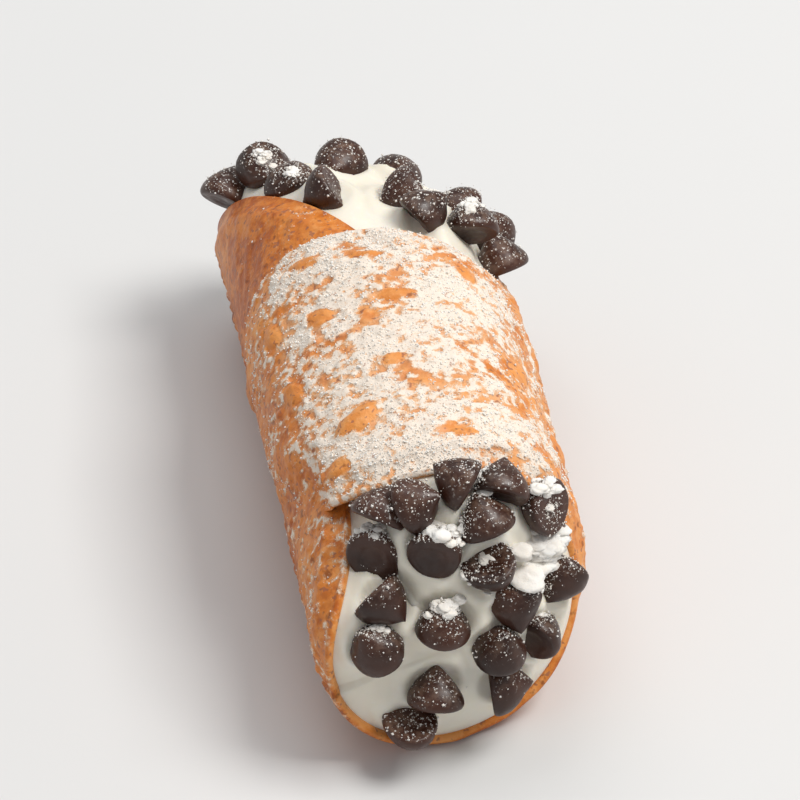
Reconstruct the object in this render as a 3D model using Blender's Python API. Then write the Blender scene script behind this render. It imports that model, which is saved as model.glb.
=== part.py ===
"""A filled cannolo: a fried dough sheet rolled into a tube, cream, and chocolate chips at both ends.

Metres, +Z up. The roll lies along Y with its front mouth at -Y, and rests on a narrow flat strip at z = 0.
The dough sheet is described unrolled: "reach" runs round the roll from the line that it rests on,
positive towards +X and the outer flap, and "length" is how far the sheet goes along Y from its middle
to its front or back edge at that reach.
"""

import math

import bmesh
import bpy
from mathutils import Matrix, Vector

FRONT, BACK = -1, 1

# Roll
BORE_RADIUS = 0.0140
WALL = 0.0022
GAP = 0.0003
REST_CUT = 0.0004
MID_RADIUS = BORE_RADIUS + WALL / 2
AXIS_HEIGHT = BORE_RADIUS + WALL - REST_CUT
ROUND_THE_ROLL = 2 * math.pi * MID_RADIUS

# Dough sheet: an egg-shaped sheet with a blunt tongue that laps over the top. The inner flap is cut
# short towards the front mouth, and the tongue is longest on its far side towards the back mouth.
LIP_LENGTH = 0.0390
KEEL = -0.0190
INNER_WIDTH = {FRONT: 0.0170, BACK: 0.0320}
INNER_POWER = {FRONT: 3.5, BACK: 1.5}
OUTER_WIDTH = {FRONT: 0.0550, BACK: 0.0520}
TONGUE_LENGTH = {FRONT: 0.0280, BACK: 0.0100}
TONGUE_SLANT = {FRONT: 0.0, BACK: 0.30}
SLANT_FROM = 0.0380
TONGUE_END = 0.0695
TONGUE_ROUNDING = 0.0200
TONGUE_POWER = 2.5
OUTLINE_BLEND = 6.0
NOSE_TRIM = 0.0003
INNER_END = KEEL - INNER_WIDTH[BACK]

# The outer flap climbs onto the inner flap before it meets that flap's nose
CLIMB = WALL + GAP
CLIMB_END = INNER_END + ROUND_THE_ROLL - 0.0008
CLIMB_START = CLIMB_END - 0.0135

# Unevenness from frying
RIPPLE = 0.00035
RIPPLE_FADE = 0.0260
FLARE = 0.0008
FLARE_FROM = 0.0270
EDGE_ROUNDING = 0.0006

# Cream
CREAM_TIP = {FRONT: 0.0385, BACK: 0.0410}
CREAM_RECESS = 0.0005
CREAM_POWER = 1.75

# Chocolate chips
CHIP_RADIUS = 0.0032
CHIP_HEIGHT = 0.0048
CHIP_HUB = 0.0019
CHIP_TIP_BEND = 0.10
CHIP_PROFILE = ((0.87, 0.0), (1.0, 0.13), (0.80, 0.46), (0.38, 0.76))
CHIP_SIDES = 8

# Where the chips lie: clock is the place round the mouth from the top towards +X, across runs from 0 on
# the axis to 1 at the shell, tilt turns the tip away from the cream's outward direction, lean says which
# way it then points, clockwise from up, and proud is how far the hub stands out, in millimetres.
FRONT_CHIPS = (
    (19, 0.96, 80, 50, 2.5), (1, 0.96, 80, -55, 2.7), (-13, 0.92, 65, 65, 2.7), (-26, 0.95, 90, -5, 1.7),
    (-40, 0.87, 145, -50, 1.5), (-11, 0.72, 140, 20, 0.9), (12, 0.84, 75, -10, 2.2), (37, 0.95, 160, 45, 1.8),
    (50, 0.90, 130, 165, -0.6), (20, 0.57, 120, 165, 1.2), (74, 0.83, 90, -110, 1.1), (57, 0.47, 50, -150, 1.2),
    (-59, 0.74, 80, 150, 1.2), (-26, 0.28, 80, 5, 1.3), (-79, 0.76, 60, -30, 1.3), (99, 0.65, 110, 80, 0.5),
    (91, 0.27, 75, 5, 1.6), (-147, 0.45, 115, 10, 1.4), (146, 0.62, 70, 80, 1.4), (-148, 0.89, 95, 180, 2.0),
)
BACK_CHIPS = (
    (-77, 0.93, 65, -65, 2.7), (-54, 0.85, 110, 35, 1.8), (-74, 0.65, 65, 60, 1.2), (-36, 0.92, 60, 20, 0.3),
    (-22, 0.96, 115, 125, 0.7), (-12, 0.66, 90, 0, 1.0), (48, 0.47, 80, -30, 0.9), (20, 0.86, 100, 60, 1.2),
    (27, 0.94, 75, -45, 1.7), (44, 0.86, 110, 20, 1.7), (40, 0.94, 60, 75, 2.6), (77, 0.93, 90, -25, 2.5),
    (87, 0.88, 100, 145, 1.3), (72, 0.98, 75, 40, 2.4), (-110, 0.61, 60, 0, 1.3), (-151, 0.77, 80, 100, 1.2),
    (172, 0.70, 60, -60, 1.4), (134, 0.64, 50, 40, 1.1), (-171, 0.31, 65, 0, 1.5), (102, 0.24, 85, 60, 1.3),
)
MILLIMETRE = 0.001

# Resolution
SHEET_COLUMNS = 46
SHEET_ROWS = 14
CREAM_SIDES = 48
CREAM_RINGS = (0.95, 0.84, 0.66, 0.45, 0.22)
CREAM_ROWS = 5


def ease(value):
    """Smooth step from 0 to 1."""
    value = min(max(value, 0.0), 1.0)
    return value * value * (3 - 2 * value)


def oval_length(reach, end):
    """Length of the egg-shaped sheet towards one mouth."""
    if reach < KEEL:
        across = min((KEEL - reach) / INNER_WIDTH[end], 1.0)
        return LIP_LENGTH * (1 - across ** INNER_POWER[end]) ** (1 / INNER_POWER[end])
    across = min((reach - KEEL) / OUTER_WIDTH[end], 1.0)
    return LIP_LENGTH * math.sqrt(1 - across * across)


def tongue_length(reach, end):
    """Length of the blunt tongue that ends the outer flap."""
    if reach < KEEL:
        return 0.0
    across = (reach - TONGUE_END + TONGUE_ROUNDING) / TONGUE_ROUNDING
    across = min(max(across, 0.0), 1.0)
    longest = TONGUE_LENGTH[end] + TONGUE_SLANT[end] * max(reach - SLANT_FROM, 0.0)
    return longest * (1 - across ** TONGUE_POWER) ** (1 / TONGUE_POWER)


def sheet_length(reach, end):
    """Length of the whole sheet, the egg and the tongue in one smooth outline."""
    total = oval_length(reach, end) ** OUTLINE_BLEND + tongue_length(reach, end) ** OUTLINE_BLEND
    return total ** (1 / OUTLINE_BLEND)


def climb(reach):
    """How far the outer flap stands off, to lie on the inner flap."""
    return CLIMB * ease((reach - CLIMB_START) / (CLIMB_END - CLIMB_START))


def ripple(reach, y):
    """Gentle waves on the outer face, none where the flaps lie on each other."""
    waves = math.sin(reach * 420 + 1.1 * math.sin(y * 190)) * math.cos(y * 330 + reach * 150)
    return RIPPLE * waves * ease((reach + RIPPLE_FADE) / 0.006)


def flare(y):
    """The long lips open slightly outwards."""
    past = max(abs(y) - FLARE_FROM, 0.0) / (LIP_LENGTH - FLARE_FROM)
    return FLARE * past * past


def on_roll(reach, y, height):
    """Point of the rolled sheet, height measured outwards from the middle of its wall."""
    radius = MID_RADIUS + height + climb(reach) + flare(y)
    if height > 0:
        radius += ripple(reach, y)
    turn = reach / MID_RADIUS
    z = AXIS_HEIGHT - radius * math.cos(turn)
    return Vector((radius * math.sin(turn), y, max(z, 0.0)))


def crowded_ends(count, crowding):
    """Fractions from 0 to 1, closer together at both ends."""
    steps = [index / count for index in range(count + 1)]
    return [step - crowding * math.sin(2 * math.pi * step) / (2 * math.pi) for step in steps]


def add_object(name, mesh, material):
    """Link a mesh object to the scene with one material."""
    item = bpy.data.objects.new(name, mesh)
    bpy.context.scene.collection.objects.link(item)
    mesh.materials.append(material)
    return item


def finish_mesh(name, bm, sharp_angle):
    """Turn a bmesh into a smooth-shaded mesh with outward faces."""
    bmesh.ops.recalc_face_normals(bm, faces=bm.faces)
    mesh = bpy.data.meshes.new(name)
    bm.to_mesh(mesh)
    bm.free()
    mesh.shade_smooth()
    mesh.set_sharp_from_angle(angle=math.radians(sharp_angle))
    return mesh


def make_material(name, colour, roughness):
    """Principled material with one colour."""
    material = bpy.data.materials.new(name)
    material.use_nodes = True
    surface = material.node_tree.nodes["Principled BSDF"]
    surface.inputs["Base Color"].default_value = (*colour, 1)
    surface.inputs["Roughness"].default_value = roughness
    surface.inputs["Metallic"].default_value = 0.0
    return material


def sheet_grid():
    """Reach and length position of every grid point of the sheet."""
    first = INNER_END + NOSE_TRIM
    last = TONGUE_END - NOSE_TRIM
    grid = []
    for fraction in crowded_ends(SHEET_COLUMNS, 0.4):
        reach = first + (last - first) * fraction
        front, back = -sheet_length(reach, FRONT), sheet_length(reach, BACK)
        grid.append([(reach, front + (back - front) * row) for row in crowded_ends(SHEET_ROWS, 0.4)])
    return grid


def edge_walk():
    """Grid places round the sheet's edge, each with the direction that points off the sheet."""
    columns, rows = SHEET_COLUMNS, SHEET_ROWS
    walk = [(column, 0) for column in range(columns)]
    walk += [(columns, row) for row in range(rows)]
    walk += [(column, rows) for column in range(columns, 0, -1)]
    walk += [(0, row) for row in range(rows, 0, -1)]
    steps = []
    for column, row in walk:
        sideways = (column == columns) - (column == 0)
        lengthways = (row == rows) - (row == 0)
        size = math.hypot(sideways, lengthways)
        steps.append((column, row, sideways / size, lengthways / size))
    return steps


def build_shell(material):
    """The rolled sheet: two faces and a rounded edge between them."""
    bm = bmesh.new()
    grid = sheet_grid()
    faces = {}
    for height in (-WALL / 2, WALL / 2):
        faces[height] = [[bm.verts.new(on_roll(reach, y, height)) for reach, y in line] for line in grid]
        for column in range(SHEET_COLUMNS):
            for row in range(SHEET_ROWS):
                near, far = faces[height][column], faces[height][column + 1]
                bm.faces.new((near[row], far[row], far[row + 1], near[row + 1]))
    walk = edge_walk()
    crest = []
    for column, row, sideways, lengthways in walk:
        reach, y = grid[column][row]
        crest.append(bm.verts.new(on_roll(reach + sideways * EDGE_ROUNDING, y + lengthways * EDGE_ROUNDING, 0)))
    for height in (-WALL / 2, WALL / 2):
        rim = [faces[height][column][row] for column, row, _, _ in walk]
        for index in range(len(walk)):
            after = (index + 1) % len(walk)
            bm.faces.new((rim[index], rim[after], crest[after], crest[index]))
    return add_object("shell", finish_mesh("shell", bm, 40), material)


def rim_length(turn, end):
    """How far the shell goes along Y at an angle round the roll, from the bottom towards +X."""
    reach = (turn % (2 * math.pi)) * MID_RADIUS
    laps = [reach + lap * ROUND_THE_ROLL for lap in (-1, 0)]
    return max(sheet_length(lap, end) for lap in laps if INNER_END < lap < TONGUE_END)


def cream_radius(turn, end):
    """The cream fills the bore, and the space under the outer flap where no inner flap lies below it."""
    reach = (turn % (2 * math.pi)) * MID_RADIUS
    nose = KEEL - INNER_WIDTH[end] + ROUND_THE_ROLL
    spare = CLIMB * ease((nose - 0.0015 - reach) / 0.0030)
    return BORE_RADIUS - GAP + min(spare, climb(reach))


def side_point(turn, y, end):
    """Point of the cream's side, against the shell."""
    radius = cream_radius(turn, end)
    return Vector((radius * math.sin(turn), y, AXIS_HEIGHT - radius * math.cos(turn)))


def cream_point(turn, across, end):
    """Point of the cream's domed end; across is 0 on the axis and 1 at the shell."""
    radius = cream_radius(turn, end) * across
    base = rim_length(turn, end) - CREAM_RECESS
    y = base + (CREAM_TIP[end] - base) * (1 - across ** CREAM_POWER) ** (1 / CREAM_POWER)
    return Vector((radius * math.sin(turn), end * y, AXIS_HEIGHT - radius * math.cos(turn)))


def cream_normal(turn, across, end):
    """Outward direction of the cream's end."""
    step = 0.02
    across = min(max(across, 2 * step), 1 - 1.5 * step)
    radial = cream_point(turn, across + step, end) - cream_point(turn, across - step, end)
    around = cream_point(turn + step, across, end) - cream_point(turn - step, across, end)
    normal = radial.cross(around).normalized()
    return normal if normal.y * end > 0 else -normal


def build_cream(material):
    """The filling: one closed body from the dome at the back to the dome at the front."""
    bm = bmesh.new()
    turns = [2 * math.pi * (side + 0.5) / CREAM_SIDES for side in range(CREAM_SIDES)]
    loops = []
    for across in reversed(CREAM_RINGS):
        loops.append([bm.verts.new(cream_point(turn, across, BACK)) for turn in turns])
    for row in range(CREAM_ROWS):
        backs = [cream_point(turn, 1.0, BACK) for turn in turns]
        steps = [side_point(turn, -GAP - 0.0005, BACK) for turn in turns]
        loops.append([bm.verts.new(back.lerp(step, row / (CREAM_ROWS - 1))) for back, step in zip(backs, steps)])
    for row in range(CREAM_ROWS):
        steps = [side_point(turn, -GAP - 0.0020, FRONT) for turn in turns]
        fronts = [cream_point(turn, 1.0, FRONT) for turn in turns]
        loops.append([bm.verts.new(step.lerp(front, row / (CREAM_ROWS - 1))) for step, front in zip(steps, fronts)])
    for across in CREAM_RINGS:
        loops.append([bm.verts.new(cream_point(turn, across, FRONT)) for turn in turns])
    for first, second in zip(loops, loops[1:]):
        for side in range(CREAM_SIDES):
            after = (side + 1) % CREAM_SIDES
            bm.faces.new((first[side], first[after], second[after], second[side]))
    for loop, end in ((loops[0], BACK), (loops[-1], FRONT)):
        middle = bm.verts.new(Vector((0, end * CREAM_TIP[end], AXIS_HEIGHT)))
        for side in range(CREAM_SIDES):
            bm.faces.new((loop[side], loop[(side + 1) % CREAM_SIDES], middle))
    return add_object("cream", finish_mesh("cream", bm, 40), material)


def build_chip_mesh(name, slack):
    """Turned drop with a flat base and a bent tip; slack makes it larger on every side."""
    bm = bmesh.new()
    loops = []
    for width, level in CHIP_PROFILE:
        radius = CHIP_RADIUS * width + slack
        bend = CHIP_TIP_BEND * CHIP_RADIUS * level ** 2
        z = CHIP_HEIGHT * level - slack * (1 - 2 * level)
        loop = []
        for side in range(CHIP_SIDES):
            angle = 2 * math.pi * side / CHIP_SIDES
            loop.append(bm.verts.new((radius * math.cos(angle) + bend, radius * math.sin(angle), z)))
        loops.append(loop)
    for low, high in zip(loops, loops[1:]):
        for side in range(CHIP_SIDES):
            after = (side + 1) % CHIP_SIDES
            bm.faces.new((low[side], low[after], high[after], high[side]))
    bm.faces.new(loops[0])
    tip = bm.verts.new((CHIP_TIP_BEND * CHIP_RADIUS, 0, CHIP_HEIGHT + 1.5 * slack))
    for side in range(CHIP_SIDES):
        bm.faces.new((loops[-1][side], loops[-1][(side + 1) % CHIP_SIDES], tip))
    return finish_mesh(name, bm, 50)


def chip_place(end, clock, across, tilt, lean, proud):
    """Place of a chip's hub and its tip's direction."""
    turn = math.radians(180 - clock)
    normal = cream_normal(turn, across, end)
    hub = cream_point(turn, across, end) + normal * proud * MILLIMETRE
    up = (Vector((0, 0, 1)) - normal * normal.z).normalized()
    side = up.cross(normal)
    aside = up * math.cos(math.radians(lean)) + side * math.sin(math.radians(lean))
    tip = normal * math.cos(math.radians(tilt)) + aside * math.sin(math.radians(tilt))
    return hub, tip


def chip_matrix(hub, tip, roll):
    """Matrix that puts a chip's hub in its place, with its tip along the given direction."""
    turned = tip.to_track_quat("Z", "Y").to_matrix().to_4x4() @ Matrix.Rotation(roll, 4, "Z")
    return Matrix.Translation(hub) @ turned @ Matrix.Translation((0, 0, -CHIP_HUB))


def build_chips(material):
    """All chips of both ends, and the matrices that they stand at."""
    mesh = build_chip_mesh("chip", 0.0)
    mesh.materials.append(material)
    chips, matrices = [], []
    for word, end, rows in (("front", FRONT, FRONT_CHIPS), ("back", BACK, BACK_CHIPS)):
        for number, row in enumerate(rows, 1):
            hub, tip = chip_place(end, *row)
            chip = bpy.data.objects.new(f"chip_{word}_{number:02d}", mesh)
            bpy.context.scene.collection.objects.link(chip)
            chip.matrix_world = chip_matrix(hub, tip, number)
            matrices.append(chip.matrix_world.copy())
            chips.append(chip)
    return chips, matrices


def cut_pockets(cream, matrices):
    """Cut a pocket into the cream for every chip, a little larger than the chip."""
    pocket = build_chip_mesh("pocket", GAP)
    bm = bmesh.new()
    for matrix in matrices:
        start = len(bm.verts)
        bm.from_mesh(pocket)
        bm.verts.ensure_lookup_table()
        bmesh.ops.transform(bm, matrix=matrix, verts=bm.verts[start:])
    joined = finish_mesh("chip_pockets", bm, 50)
    cutter = bpy.data.objects.new("chip_pockets", joined)
    bpy.context.scene.collection.objects.link(cutter)
    cutter.hide_render = True
    cutter.display_type = "WIRE"
    cut = cream.modifiers.new("Pockets", "BOOLEAN")
    cut.operation = "DIFFERENCE"
    cut.solver = "EXACT"
    cut.use_self = True
    cut.object = cutter
    return cutter


def stand_over_origin(items):
    """Move everything so that the middle of the whole lies over the origin."""
    bpy.context.view_layer.update()
    points = [item.matrix_world @ vertex.co for item in items for vertex in item.data.vertices]
    for axis in (0, 1):
        low = min(point[axis] for point in points)
        high = max(point[axis] for point in points)
        for item in items:
            item.location[axis] -= (low + high) / 2


def main():
    """Build the whole cannolo."""
    for item in list(bpy.data.objects):
        bpy.data.objects.remove(item)
    crust = make_material("fried_crust", (0.66, 0.32, 0.11), 0.62)
    filling = make_material("cream_filling", (0.84, 0.81, 0.70), 0.45)
    chocolate = make_material("dark_chocolate", (0.055, 0.027, 0.020), 0.38)
    shell = build_shell(crust)
    cream = build_cream(filling)
    chips, matrices = build_chips(chocolate)
    cutter = cut_pockets(cream, matrices)
    stand_over_origin([shell, cream, cutter, *chips])


if __name__ == "__main__":
    main()
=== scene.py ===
"""Looks of the filled cannolo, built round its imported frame.

The rolled shell, the cream and every chocolate drop are remade as fine meshes in the places that the frame
gives, then dusted with sugar. The sheet of dough is described unrolled, as the frame was made: "reach" runs
round the roll from the line that it rests on, towards +X and the outer flap, and "y" runs along the roll.
"""

import math

import bmesh
import bpy
import numpy as np
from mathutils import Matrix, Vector


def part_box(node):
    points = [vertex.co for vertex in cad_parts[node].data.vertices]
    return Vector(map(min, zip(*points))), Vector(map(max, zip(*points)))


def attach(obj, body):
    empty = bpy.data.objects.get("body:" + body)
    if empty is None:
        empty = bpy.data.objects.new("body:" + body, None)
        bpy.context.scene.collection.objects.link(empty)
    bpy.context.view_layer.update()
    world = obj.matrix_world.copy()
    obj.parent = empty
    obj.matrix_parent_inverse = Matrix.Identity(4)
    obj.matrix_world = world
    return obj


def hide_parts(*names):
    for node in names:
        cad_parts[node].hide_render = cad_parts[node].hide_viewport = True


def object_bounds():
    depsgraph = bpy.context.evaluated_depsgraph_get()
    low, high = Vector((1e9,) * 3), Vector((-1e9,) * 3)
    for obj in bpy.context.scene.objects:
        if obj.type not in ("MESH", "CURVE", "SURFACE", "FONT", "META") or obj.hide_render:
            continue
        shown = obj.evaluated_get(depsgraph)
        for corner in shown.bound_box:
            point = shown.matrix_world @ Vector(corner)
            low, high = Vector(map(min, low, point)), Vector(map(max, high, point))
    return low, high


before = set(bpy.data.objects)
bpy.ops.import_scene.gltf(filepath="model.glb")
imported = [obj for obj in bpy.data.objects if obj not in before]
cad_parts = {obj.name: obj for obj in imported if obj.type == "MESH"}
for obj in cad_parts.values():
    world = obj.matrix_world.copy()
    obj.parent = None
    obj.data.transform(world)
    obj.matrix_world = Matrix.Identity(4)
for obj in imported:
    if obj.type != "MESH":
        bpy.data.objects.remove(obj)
CAD_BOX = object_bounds()
MM = 0.001
FRONT, BACK = -1, 1

# Rolled sheet, as in the frame
BORE_RADIUS = 14.0 * MM
WALL = 2.2 * MM
GAP = 0.3 * MM
REST_CUT = 0.4 * MM
MID_RADIUS = BORE_RADIUS + WALL / 2
AXIS_HEIGHT = BORE_RADIUS + WALL - REST_CUT
ROUND_THE_ROLL = 2 * math.pi * MID_RADIUS
LIP_LENGTH = 39.0 * MM
KEEL = -19.0 * MM
INNER_WIDTH = {FRONT: 17.0 * MM, BACK: 32.0 * MM}
INNER_POWER = {FRONT: 3.5, BACK: 1.5}
OUTER_WIDTH = {FRONT: 55.0 * MM, BACK: 52.0 * MM}
TONGUE_LENGTH = {FRONT: 28.0 * MM, BACK: 10.0 * MM}
TONGUE_SLANT = {FRONT: 0.0, BACK: 0.30}
SLANT_FROM = 38.0 * MM
TONGUE_END = 69.5 * MM
TONGUE_ROUNDING = 20.0 * MM
TONGUE_POWER = 2.5
OUTLINE_BLEND = 6.0
NOSE_TRIM = 0.3 * MM
INNER_END = KEEL - INNER_WIDTH[BACK]
CLIMB = WALL + GAP
CLIMB_END = INNER_END + ROUND_THE_ROLL - 0.8 * MM
CLIMB_START = CLIMB_END - 13.5 * MM
FLARE = 0.8 * MM
FLARE_FROM = 27.0 * MM

# Cream, as in the frame
CREAM_TIP = {FRONT: 38.5 * MM, BACK: 41.0 * MM}
CREAM_RECESS = 0.5 * MM
CREAM_PRESS = 0.15 * MM
CREAM_POWER = 1.75

# Chocolate drops, as in the frame
DROP_RADIUS = 3.2 * MM
DROP_HEIGHT = 4.8 * MM
DROP_HUB = 1.9 * MM
DROP_BASE = 0.87
DROP_EDGE = 0.13
DROP_SIDES = 30

# Finer shape
SHEET_COLUMNS = 540
SHEET_ROWS = 360
EDGE_THIN = 1.25 * MM
EDGE_WIDTH = 3.2 * MM
FLAP_THIN = 1.55 * MM
FLAP_WIDTH = 7.0 * MM
FRONT_FLAP_THIN = 2.1 * MM
FRONT_FLAP_WIDTH = 11.0 * MM
SEAM_SINK = 0.45 * MM
SEAM_WIDTH = 7.0 * MM
MAP_STEP = 0.2 * MM
MAP_MARGIN = 3.0 * MM
CREAM_SIDES = 190
CREAM_RINGS = 46
CREAM_ROWS = 6
LUMP_SIDES = 22
LUMP_RINGS = 13

# Blisters and sugar
# Blisters that stand out: clock in degrees from the top towards +X, y along the roll, long and wide radius,
# angle in degrees, height; lengths in millimetres. Those that the photo shows were picked by eye, worked out
# as clock and y by a helper script and rounded. The others, on the sides that it hides, are made up.
MARKED_BLISTERS = (
    (-27, -18.0, 3.0, 1.8, -25, 0.95), (-1, 0.0, 2.2, 1.1, 10, 0.45), (-37, -23.0, 1.7, 1.4, 0, 0.50),
    (-31, 10.6, 2.4, 1.2, 30, 0.50), (-31, 0.6, 1.8, 1.4, 60, 0.50), (-9, 7.9, 1.8, 0.9, 20, 0.40),
    (-9, -10.5, 1.3, 1.0, 0, 0.35), (9, -24.0, 1.6, 0.8, 10, 0.40), (-48, -8.0, 2.2, 1.2, 70, 0.55),
    (-52, 3.5, 2.0, 1.3, 80, 0.50), (26, 4.0, 1.5, 0.8, 60, 0.35), (44, -9.0, 1.8, 1.1, 90, 0.45),
    (66, -16.0, 2.4, 1.6, 30, 0.60), (-84, -12.0, 2.6, 1.7, 60, 0.70), (-100, 10.0, 3.0, 1.9, 120, 0.80),
    (100, 6.0, 3.0, 1.8, 45, 0.70), (120, -12.0, 2.8, 2.0, 10, 0.70), (-120, -20.0, 2.6, 1.7, 70, 0.60),
)
# Small blisters: count, smallest and largest radius in millimetres, height as a share of the radius
BLISTER_SIZES = (
    (230, 0.9, 1.7, 0.26),
    (3800, 0.35, 0.85, 0.40),
)
SMALL_BARE_FROM = 0.8
SMALL_BARE_CHANCE = 0.14
# Thick spots of sugar on the top: clock, y, radius, found in the same way
MARKED_POWDER = (
    (-16, -6.7, 2.8), (-15, 4.6, 3.0), (9, -10.5, 3.2), (-18, -13.8, 2.6), (14, 2.5, 2.6), (2, -20.0, 2.4),
    (24, -16.0, 2.8), (20, 10.0, 2.4), (-8, -25.5, 2.6), (34, -3.0, 2.2), (-24, -3.0, 1.8), (0, 12.5, 2.0),
)
BACK_LIP_FROM = -20.0 * MM
SHELL_GRAINS = 20000
GRAIN_SPREAD = 0.026
GRAIN_JITTER = 0.08 * MM
GRAIN_REACH = 1.25
# How far the lumps between several drops are drawn in, as a share of the way to the clump's middle
HEAPED = 0.55
# Clumps of sugar: the drops that one lies on or between, its lift and its size in millimetres
CLUMPS = (
    (("front_09", "front_10", "front_11"), 1.6, 4.0), (("front_09", "front_11"), 2.0, 3.0),
    (("front_05",), 2.3, 1.9), (("front_05", "front_04"), 1.0, 1.2), (("front_06",), 2.2, 2.0),
    (("front_06", "front_07"), 0.8, 1.5), (("front_08",), 2.0, 1.9), (("front_14",), 2.2, 1.8),
    (("front_14", "front_10"), 0.8, 1.4), (("front_13", "front_15"), 0.6, 1.3),
    (("front_01", "front_02"), 0.4, 1.4),
    (("front_12", "front_11"), 1.2, 1.4), (("front_16",), 2.0, 1.2), (("back_11",), 2.2, 1.4),
    (("back_08", "back_10"), 1.6, 1.4), (("back_04",), 2.1, 1.2), (("back_02",), 2.2, 1.3),
    (("back_12",), 2.0, 1.2),
)
GRAIN_CORNERS = np.array([(1, 0, 0), (-1, 0, 0), (0, 1, 0), (0, -1, 0), (0, 0, 1), (0, 0, -1)], dtype=float)
GRAIN_FACES = np.array([(0, 2, 4), (2, 1, 4), (1, 3, 4), (3, 0, 4),
                        (2, 0, 5), (1, 2, 5), (3, 1, 5), (0, 3, 5)])

# Camera, in degrees and metres
CAMERA_AZIMUTH = -10
CAMERA_ELEVATION = 42
CAMERA_DISTANCE = 0.95
VIEW_WIDTH = 92 * MM


def ease(value):
    """Smooth step from 0 to 1, of a number or an array."""
    value = np.clip(value, 0.0, 1.0)
    return value * value * (3 - 2 * value)


# ---------------------------------------------------------------- the sheet of dough

def oval_length(reach, end):
    """Length of the egg-shaped sheet towards one mouth."""
    inner = np.clip((KEEL - reach) / INNER_WIDTH[end], 0.0, 1.0)
    outer = np.clip((reach - KEEL) / OUTER_WIDTH[end], 0.0, 1.0)
    power = INNER_POWER[end]
    towards_inner = (1 - inner ** power) ** (1 / power)
    return LIP_LENGTH * np.where(reach < KEEL, towards_inner, np.sqrt(1 - outer * outer))


def tongue_length(reach, end):
    """Length of the blunt tongue that ends the outer flap."""
    across = np.clip((reach - TONGUE_END + TONGUE_ROUNDING) / TONGUE_ROUNDING, 0.0, 1.0)
    longest = TONGUE_LENGTH[end] + TONGUE_SLANT[end] * np.maximum(reach - SLANT_FROM, 0.0)
    length = longest * (1 - across ** TONGUE_POWER) ** (1 / TONGUE_POWER)
    return np.where(reach < KEEL, 0.0, length)


def sheet_length(reach, end):
    """Length of the whole sheet towards one mouth."""
    total = oval_length(reach, end) ** OUTLINE_BLEND + tongue_length(reach, end) ** OUTLINE_BLEND
    return total ** (1 / OUTLINE_BLEND)


def climb(reach):
    """How far the outer flap stands off, to lie on the inner flap."""
    return CLIMB * ease((reach - CLIMB_START) / (CLIMB_END - CLIMB_START))


def flare(y):
    """The long lips open slightly outwards."""
    past = np.maximum(np.abs(y) - FLARE_FROM, 0.0) / (LIP_LENGTH - FLARE_FROM)
    return FLARE * past * past


def roll_up(reach, y, height):
    """Points of the rolled sheet, height measured outwards from the middle of its wall."""
    radius = MID_RADIUS + height + climb(reach) + flare(y)
    turn = reach / MID_RADIUS
    z = np.maximum(AXIS_HEIGHT - radius * np.cos(turn), 0.0)
    return np.stack([radius * np.sin(turn), y, z], axis=-1)


def clock_of(reach):
    """Angle from the top of the roll towards +X, in radians from -pi to pi."""
    return np.mod(-reach / MID_RADIUS, 2 * math.pi) - math.pi


def rim_length(turn, end):
    """How far the shell goes along Y at an angle round the roll, from the bottom towards +X."""
    reach = np.mod(turn, 2 * math.pi) * MID_RADIUS
    longest = np.zeros_like(reach)
    for lap in (reach - ROUND_THE_ROLL, reach):
        inside = (lap > INNER_END) & (lap < TONGUE_END)
        longest = np.maximum(longest, np.where(inside, sheet_length(lap, end), 0.0))
    return longest


def covered(reach, y):
    """1 where the inner flap lies under the outer one, fading out just beyond the outer flap's edge."""
    lap = reach + ROUND_THE_ROLL
    over = np.where(y < 0, sheet_length(lap, FRONT), sheet_length(lap, BACK))
    hidden = 1 - ease((np.abs(y) - over - 0.3 * MM) / (1.2 * MM))
    return np.where((reach < 0) & (lap < TONGUE_END), hidden, 0.0)


# ---------------------------------------------------------------- relief maps of the unrolled sheet

class SheetMap:
    """A grid of values over the unrolled sheet, filled by stamping and read by interpolation."""

    def __init__(self):
        self.low = np.array([INNER_END - MAP_MARGIN, -LIP_LENGTH - MAP_MARGIN])
        high = np.array([TONGUE_END + MAP_MARGIN, LIP_LENGTH + MAP_MARGIN])
        self.shape = tuple(((high - self.low) / MAP_STEP).astype(int) + 1)
        self.values = np.zeros(self.shape)

    def stamp_dome(self, reach, y, long, wide, angle, height, flatness):
        """Raise an oval blister, keeping the higher of it and what is there."""
        middle = (np.array([reach, y]) - self.low) / MAP_STEP
        span = int(max(long, wide) / MAP_STEP) + 2
        first = np.maximum(middle.astype(int) - span, 0)
        last = np.minimum(middle.astype(int) + span + 1, self.shape)
        if (last <= first).any():
            return
        rows = (np.arange(first[0], last[0]) - middle[0])[:, None] * MAP_STEP
        columns = (np.arange(first[1], last[1]) - middle[1])[None, :] * MAP_STEP
        along = (rows * math.cos(angle) + columns * math.sin(angle)) / long
        across = (columns * math.cos(angle) - rows * math.sin(angle)) / wide
        inside = np.clip(1 - (along * along + across * across), 0.0, 1.0)
        dome = height * inside ** flatness
        window = self.values[first[0]:last[0], first[1]:last[1]]
        np.maximum(window, dome, out=window)

    def read(self, reach, y):
        """Values at any points, between cells by straight lines."""
        place = (np.stack([reach, y], axis=-1) - self.low) / MAP_STEP
        limit = np.array(self.shape) - 1.001
        place = np.clip(place, 0, limit)
        cell = place.astype(int)
        part = place - cell
        i, j = cell[..., 0], cell[..., 1]
        a, b = part[..., 0], part[..., 1]
        low = self.values[i, j] * (1 - b) + self.values[i, j + 1] * b
        high = self.values[i + 1, j] * (1 - b) + self.values[i + 1, j + 1] * b
        return low * (1 - a) + high * a


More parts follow.
